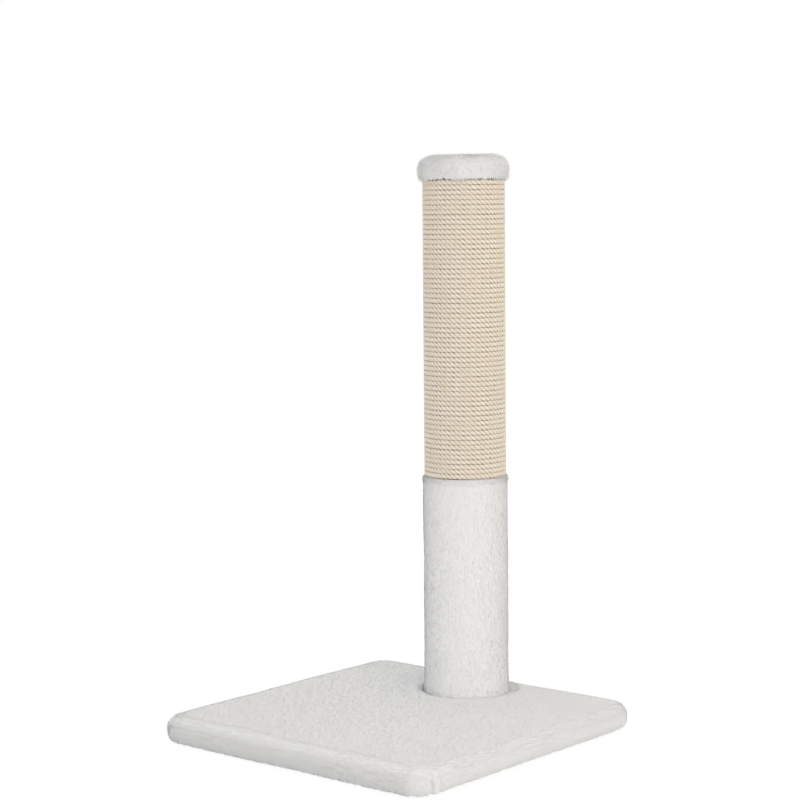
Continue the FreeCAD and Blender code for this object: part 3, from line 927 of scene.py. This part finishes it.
def markStrand(mesh, angle, height, radii, length):
    # the fibres' way along the strand, how deep each point lies in the rope, and the baked map
    around = len(mesh.vertices) // len(length)
    co = np.empty(len(mesh.vertices) * 3, np.float32)
    mesh.vertices.foreach_get("co", co)
    co = co.reshape(-1, 3)
    ring = np.arange(len(co)) // around
    side = np.arange(len(co)) % around
    # the two end caps have vertices of their own, after those of the wall
    ring[ring == len(length)] = 0
    ring[ring > len(length)] = len(length) - 1
    outward = np.hypot(co[:, 0], co[:, 1] - postY) - radii[ring]
    upward = co[:, 2] - height[ring]
    reach, way = np.hypot(outward, upward), np.arctan2(upward, outward)
    # the outline swells where the rows leave room, between their crests and their contacts
    grow = 1 + ropeLook["squash"] * np.sin(2 * way) ** 2
    out = radii[ring] + reach * grow * np.cos(way)
    co[:, 0] = out * np.cos(angle[ring])
    co[:, 1] = out * np.sin(angle[ring]) + postY
    co[:, 2] = height[ring] + reach * grow * np.sin(way)
    mesh.vertices.foreach_set("co", co.ravel())
    mesh.update()
    # crest and valley steer the sisal's painted shade in the grooves between strands and the
    # valleys between rows
    crest = reach / ropeLook["crestReach"]
    valley = np.abs(np.sin(way)) * (outward > 0)
    turn = 2 * math.pi * side / around
    size, stretch = ropeLook["fibreRadius"], ropeLook["fibreStretch"]
    fibre = np.stack([np.cos(turn) * size, np.sin(turn) * size, length[ring] * stretch], 1)
    store(mesh, "fibre", "FLOAT_VECTOR", fibre)
    store(mesh, "crest", "FLOAT", crest)
    store(mesh, "valley", "FLOAT", valley)
    corners = np.empty(len(mesh.loops), np.int32)
    mesh.loops.foreach_get("vertex_index", corners)
    totals = np.empty(len(mesh.polygons), np.int32)
    mesh.polygons.foreach_get("loop_total", totals)
    owner = np.repeat(np.arange(len(totals)), totals)
    cornerRing, cornerSide = ring[corners], side[corners]
    firstRing = np.full(len(totals), len(length))
    np.minimum.at(firstRing, owner, cornerRing)
    lastSide = np.zeros(len(totals), int)
    np.maximum.at(lastSide, owner, cornerSide)
    wraps = (lastSide[owner] == around - 1) & (cornerSide == 0)
    perTurn = ropeLook["pointsPerTurn"]
    row = firstRing[owner] // perTurn
    place = (cornerRing - row * perTurn) / (perTurn + 1)
    rise = (cornerSide + wraps * around) / around * ropeLook["rowFill"]
    level = (row + rise) / ropeLook["rows"]
    for layer in list(mesh.uv_layers):
        mesh.uv_layers.remove(layer)
    layer = mesh.uv_layers.new(name="OFBake")
    layer.uv.foreach_set("vector", np.stack([place, level], 1).astype(np.float32).ravel())


sisalLook = {
    "light": (0.95, 0.88, 0.78, 1),
    "dark": (0.77, 0.67, 0.54, 1),
    # groove is painted shade in the grooves between strands, and dot is painted shade where those
    # grooves run into the valleys between rows
    "groove": (0.72, 0.59, 0.43, 1),
    "dot": (0.20, 0.10, 0.035, 1),
    # painted groove shade fades out between these shares of the rope's radius
    "grooveShadeRange": (0.83, 0.94),  # shares of the rope's radius
    # the painted shade dots in the valleys between rows come in over this range
    "valleyShadeRange": (0.50, 0.72),  # sine of the angle round the rope from its outermost line
    "shadeDotFade": 0.8,  # how much the crests hold the dots back
    "patchRange": (0.4, 0.56, 0.1),  # dots are thinned to the last share in some patches
    "shadeRange": (0.3, 0.75),
    "fibreScale": 2600,
    "fibreShare": 0.6,
    "patchScale": 60,
    "patchShare": 0.5,
    "bump": 0.35,
    "bumpDepth": 0.0004,
}


def sisalMaterial():
    material, tree, shader = startMaterial("sisal", Roughness=0.85, Specular_IOR_Level=0.12)
    fibres = addNode(tree, "ShaderNodeTexNoise", {
        "Vector": attribute(tree, "fibre", "Vector"), "Scale": sisalLook["fibreScale"],
        "Detail": 3, "Roughness": 0.6})
    patches = texture(tree, "Noise", Scale=sisalLook["patchScale"], Detail=3)
    patchPart = reckon(tree, "MULTIPLY", patches, sisalLook["patchShare"])
    mixed = reckon(tree, "MULTIPLY_ADD", fibres, sisalLook["fibreShare"], patchPart)
    shade = colourMix(tree, sisalLook["dark"], sisalLook["light"],
                      ramp(tree, mixed, *sisalLook["shadeRange"]))
    # painted shade: the grooves between strands are coloured darker, by how near the rope's middle
    # each point lies
    crest = ramp(tree, attribute(tree, "crest"), *sisalLook["grooveShadeRange"],
                 interpolation_type="SMOOTHSTEP")
    grooveShaded = colourMix(tree, sisalLook["groove"], shade, crest)
    # brown dots of painted shade where a groove between strands runs into the valley between rows
    valley = ramp(tree, attribute(tree, "valley"), *sisalLook["valleyShadeRange"])
    groove = reckon(tree, "MULTIPLY_ADD", crest, -sisalLook["shadeDotFade"], 1.0)
    some = ramp(tree, patches, *sisalLook["patchRange"])
    dots = reckon(tree, "MULTIPLY", reckon(tree, "MULTIPLY", valley, groove), some)
    feed(shader, "Base Color", colourMix(tree, grooveShaded, sisalLook["dot"], dots))
    roughen(shader, fibres, sisalLook["bump"], sisalLook["bumpDepth"])
    return material


linerLook = {
    "half": 0.1692,
    "corner": 0.012,
    "access": 0.0155,  # radius of the hole below the bolt
    "depth": 0.0007,
    "lift": 0.0001,
    "pucker": 0.0003,
    "puckerEdge": 0.02,  # it lies flat at the rim and puckers fully this far in
}


def makeLiner():
    low, high = nodeCorners("base_liner")
    bm = bmesh.new()
    bmesh.ops.create_circle(bm, cap_ends=False, radius=linerLook["access"], segments=48,
                            matrix=Matrix.Translation((0, postY, high.z)))
    hole = list(bm.edges)
    corners = [bm.verts.new((x, y, high.z)) for x, y in ((-1, -1), (1, -1), (1, 1), (-1, 1))]
    for first, second in zip(corners, corners[1:] + corners[:1]):
        bm.edges.new((first, second))
    bmesh.ops.scale(bm, vec=(linerLook["half"], linerLook["half"], 1), verts=corners)
    bmesh.ops.bevel(bm, geom=corners, offset=linerLook["corner"], segments=6, profile=0.5,
                    affect="VERTICES", material=-1)
    rim = [edge for edge in bm.edges if edge not in hole]
    bmesh.ops.subdivide_edges(bm, edges=[e for e in rim if e.calc_length() > 0.1], cuts=9)
    rim = [edge for edge in bm.edges if edge not in hole]
    bmesh.ops.bridge_loops(bm, edges=hole + rim)
    spokes = [edge for edge in bm.edges if edge not in hole and edge not in rim]
    bmesh.ops.subdivide_edges(bm, edges=spokes, cuts=14, use_grid_fill=True)
    bmesh.ops.recalc_face_normals(bm, faces=bm.faces)
    if sum(face.normal.z for face in bm.faces) > 0:
        bmesh.ops.reverse_faces(bm, faces=bm.faces)
    liner = toObject(bm, "baseLiner")
    for vert in liner.data.vertices:
        edge = linerLook["half"] - max(abs(vert.co.x), abs(vert.co.y))
        loose = smoothStep(edge, 0.0, linerLook["puckerEdge"])
        vert.co.z = low.z + linerLook["lift"] + linerLook["pucker"] * loose * (
            1 + noise.noise(vert.co * 24))
    giveWall(liner, linerLook["depth"])
    return liner


padLook = {
    "inset": 0.0005,
    "lift": 0.0001,
    "rounding": 0.004,
    "step": 0.004,
    "turns": 72,
    "ripples": ((0.02, 0.0003), (0.005, 0.0002)),
    "seed": 31,
}


def makePad():
    low, high = nodeCorners("cap_pad")
    radius = (high.x - low.x) / 2 - padLook["inset"]
    bottom = low.z + padLook["lift"]
    bend, step = padLook["rounding"], padLook["step"]
    outline = [(0, bottom)] + straightRun((0.003, bottom), (radius, bottom), step)
    outline += straightRun((radius, bottom), (radius, high.z - bend), 0.001)
    outline += roundRun((radius - bend, high.z - bend), bend, 0, 90, 6)
    outline += straightRun((radius - bend, high.z), (0, high.z), step) + [(0, high.z)]
    pad = spinOutline("capPad", outline, padLook["turns"], False)
    rippleMesh(pad, padLook["ripples"], padLook["seed"])
    return pad


boardLook = {
    "dark": (0.42, 0.29, 0.16, 1),
    "light": (0.68, 0.53, 0.34, 1),
    "chipScale": 260.0,
    "chipShare": 0.5,
    "grainScale": 90,
    "bump": (0.3, 0.0005),  # strength and depth
}


def particleBoard():
    material, tree, shader = startMaterial("particleBoard", Roughness=0.85)
    chips = texture(tree, "Voronoi", Scale=boardLook["chipScale"])
    grain = texture(tree, "Noise", Scale=boardLook["grainScale"], Detail=5)
    split = addNode(tree, "ShaderNodeSeparateColor", {"Color": chips.outputs["Color"]})
    share = reckon(tree, "MULTIPLY_ADD", split.outputs["Red"], boardLook["chipShare"], grain)
    feed(shader, "Base Color", colourMix(tree, boardLook["dark"], boardLook["light"], share))
    roughen(shader, chips, *boardLook["bump"])
    return material


cardLook = {
    "dark": (0.36, 0.25, 0.15, 1),
    "light": (0.52, 0.39, 0.25, 1),
    "seam": (0.20, 0.14, 0.08, 1),
    "climb": 0.09,  # height from one turn of the paper to the next
    "seamShare": 0.012,  # of that height
    "paperScale": 160,
}


def cardboard():
    # kraft paper wound in a spiral
    material, tree, shader = startMaterial("cardboard", Roughness=0.8)
    place = addNode(tree, "ShaderNodeTexCoord").outputs["Object"]
    centred = addNode(tree, "ShaderNodeMapping", {"Vector": place, "Location": (0, -postY, 0)})
    x, y, z = addNode(tree, "ShaderNodeSeparateXYZ", {"Vector": centred}).outputs
    turns = reckon(tree, "MULTIPLY", reckon(tree, "ARCTAN2", y, x), 1 / (2 * math.pi))
    climb = reckon(tree, "MULTIPLY_ADD", z, 1 / cardLook["climb"], turns)
    seam = ramp(tree, reckon(tree, "PINGPONG", climb, 0.5), 0.0, cardLook["seamShare"])
    paper = texture(tree, "Noise", Scale=cardLook["paperScale"], Detail=6)
    shade = colourMix(tree, cardLook["dark"], cardLook["light"], paper)
    feed(shader, "Base Color", colourMix(tree, cardLook["seam"], shade, seam))
    return material


zincLook = {
    "dark": (0.55, 0.56, 0.58, 1),
    "light": (0.75, 0.76, 0.78, 1),
    "roughness": (0.28, 0.48),
    "spangleScale": 500,
}


def zincSteel():
    material, tree, shader = startMaterial("zincSteel", Metallic=1.0)
    spangle = texture(tree, "Noise", Scale=zincLook["spangleScale"], Detail=3)
    feed(shader, "Roughness", ramp(tree, spangle, 0.0, 1.0, *zincLook["roughness"]))
    feed(shader, "Base Color", colourMix(tree, zincLook["dark"], zincLook["light"], spangle))
    return material


fleeceLook = {
    "dark": (0.60, 0.60, 0.59, 1),
    "light": (0.76, 0.76, 0.75, 1),
    "dotScale": 420.0,  # of the pressed dots
    "fibreScale": 900,
    "bump": (0.3, 0.0003),
}


def fleece():
    material, tree, shader = startMaterial("fleece", Roughness=0.9, Specular_IOR_Level=0.2)
    dots = texture(tree, "Voronoi", Scale=fleeceLook["dotScale"], Randomness=0.0)
    fibres = texture(tree, "Noise", Scale=fleeceLook["fibreScale"], Detail=4)
    feed(shader, "Base Color", colourMix(tree, fleeceLook["dark"], fleeceLook["light"], fibres))
    roughen(shader, dots, *fleeceLook["bump"])
    return material


foamLook = {
    "dark": (0.62, 0.56, 0.38, 1),
    "light": (0.84, 0.79, 0.60, 1),
    "cellScale": 900.0,
    "bump": (0.5, 0.0005),
}


def foamMaterial():
    material, tree, shader = startMaterial("foam", Roughness=0.95, Specular_IOR_Level=0.15)
    cells = texture(tree, "Voronoi", Scale=foamLook["cellScale"])
    feed(shader, "Base Color", colourMix(tree, foamLook["dark"], foamLook["light"], cells))
    roughen(shader, cells, *foamLook["bump"])
    return material


rubberLook = {
    "dark": (0.025, 0.025, 0.026, 1),
    "light": (0.06, 0.06, 0.06, 1),
    "dustScale": 300,
    "bump": (0.2, 0.0003),
}


def rubber():
    material, tree, shader = startMaterial("rubber", Roughness=0.7)
    dust = texture(tree, "Noise", Scale=rubberLook["dustScale"], Detail=5)
    feed(shader, "Base Color", colourMix(tree, rubberLook["dark"], rubberLook["light"], dust))
    roughen(shader, dust, *rubberLook["bump"])
    return material


def dress(piece, slot, material, *nodes):
    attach(piece, "root")
    piece.data.materials.clear()
    piece.data.materials.append(material)
    if nodes:
        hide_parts(*nodes)


placeCamera()
lightSky()
lightKey()
layFloor()
print("studio ready")

plush = plushMaterial("plush", False)
plushPile = plushMaterial("plushPile", True)
streakedPile = plushMaterial("streakedPile", True, True)


def dressCloth(made, cut, node):
    cover, piles = made
    dress(cover, "white_plush", plush, node)
    for pile in piles:
        dress(pile, "white_plush", plushPile if cut == "base" else streakedPile)


pad = makePad()
dress(pad, "foam", foamMaterial(), "cap_pad")
dressCloth(makeBaseCover(), "base", "base_plush")
print("base cover made")
dressCloth(makeSleeve(), "sleeve", "plush_sleeve")
print("sleeve made")
dressCloth(makeCapCover(), "cap", "cap_plush")
print("cap cover made")

sisal = sisalMaterial()
for number in range(ropeLook["strands"]):
    strand = makeStrand(number)
    if number == 0:
        dress(strand, "sisal", sisal, "sisal_rope")
    else:
        dress(strand, "sisal", sisal)
print("rope made")

liner = makeLiner()
dress(liner, "liner_fleece", fleece(), "base_liner")
print("liner made")

hardware = {
    "particle_board": particleBoard(),
    "cardboard": cardboard(),
    "zinc_steel": zincSteel(),
    "pad_rubber": rubber(),
}
for part in frame["record"]["subparts"]:
    if part["material_slot"] in hardware:
        for item in frame["nodes"][part["node"]].material_slots:
            item.material = hardware[part["material_slot"]]
print("hardware dressed")

bpy.context.scene.view_settings.view_transform = "Standard"
